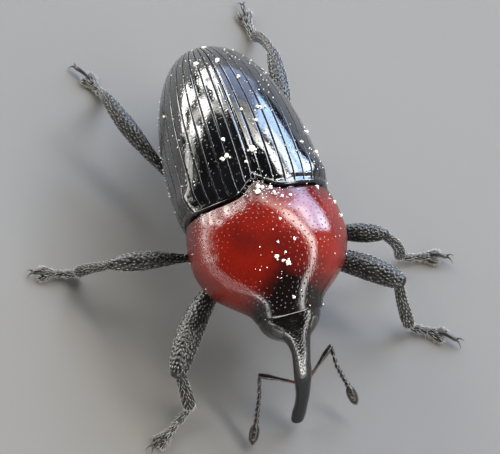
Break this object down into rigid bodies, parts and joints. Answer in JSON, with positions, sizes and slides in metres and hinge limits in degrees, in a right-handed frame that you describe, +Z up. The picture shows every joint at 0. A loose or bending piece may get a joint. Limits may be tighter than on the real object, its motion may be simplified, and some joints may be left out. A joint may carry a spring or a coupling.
{
  "type": "wavy flower weevil",
  "caption": "Small glossy snout beetle as a still life-size model: a dark red shield behind the head, black grooved wing cases, a curved snout, elbowed feelers and bent legs with pitted thighs.",
  "frame": {"origin": "centre of the footprint box, on the level that the feet stand on", "axes": "+Z up; the head points to -Y; the beetle's left side is +X"},
  "size_m": [0.0054, 0.0064, 0.0022],
  "materials": {
    "red_cuticle": "deep glossy blood red, finely pitted, shading to black in front",
    "black_cuticle": "glossy black with rows of fine pits",
    "leg_cuticle": "black, coarsely pitted, with short pale bristles",
    "feeler_cuticle": "brown black, redder at the root",
    "eye": "black, finely faceted"
  },
  "bodies": {
    "root": {"prothorax": "red_cuticle", "head": "black_cuticle", "rostrum": "black_cuticle", "scutellum": "black_cuticle", "elytron_left": "black_cuticle", "elytron_right": "black_cuticle", "pterothorax": "black_cuticle", "abdomen": "black_cuticle", "eye_left": "eye", "eye_right": "eye", "scape_left": "feeler_cuticle", "scape_right": "feeler_cuticle", "funicle_left": "feeler_cuticle", "funicle_right": "feeler_cuticle", "club_left": "feeler_cuticle", "club_right": "feeler_cuticle", "coxa_front_right": "leg_cuticle", "femur_front_right": "leg_cuticle", "tibia_front_right": "leg_cuticle", "tarsus_front_right": "leg_cuticle", "claws_front_right": "leg_cuticle", "coxa_front_left": "leg_cuticle", "femur_front_left": "leg_cuticle", "tibia_front_left": "leg_cuticle", "tarsus_front_left": "leg_cuticle", "claws_front_left": "leg_cuticle", "coxa_middle_right": "leg_cuticle", "femur_middle_right": "leg_cuticle", "tibia_middle_right": "leg_cuticle", "tarsus_middle_right": "leg_cuticle", "claws_middle_right": "leg_cuticle", "coxa_middle_left": "leg_cuticle", "femur_middle_left": "leg_cuticle", "tibia_middle_left": "leg_cuticle", "tarsus_middle_left": "leg_cuticle", "claws_middle_left": "leg_cuticle", "coxa_hind_right": "leg_cuticle", "femur_hind_right": "leg_cuticle", "tibia_hind_right": "leg_cuticle", "tarsus_hind_right": "leg_cuticle", "claws_hind_right": "leg_cuticle", "coxa_hind_left": "leg_cuticle", "femur_hind_left": "leg_cuticle", "tibia_hind_left": "leg_cuticle", "tarsus_hind_left": "leg_cuticle", "claws_hind_left": "leg_cuticle"}
  },
  "joints": []
}
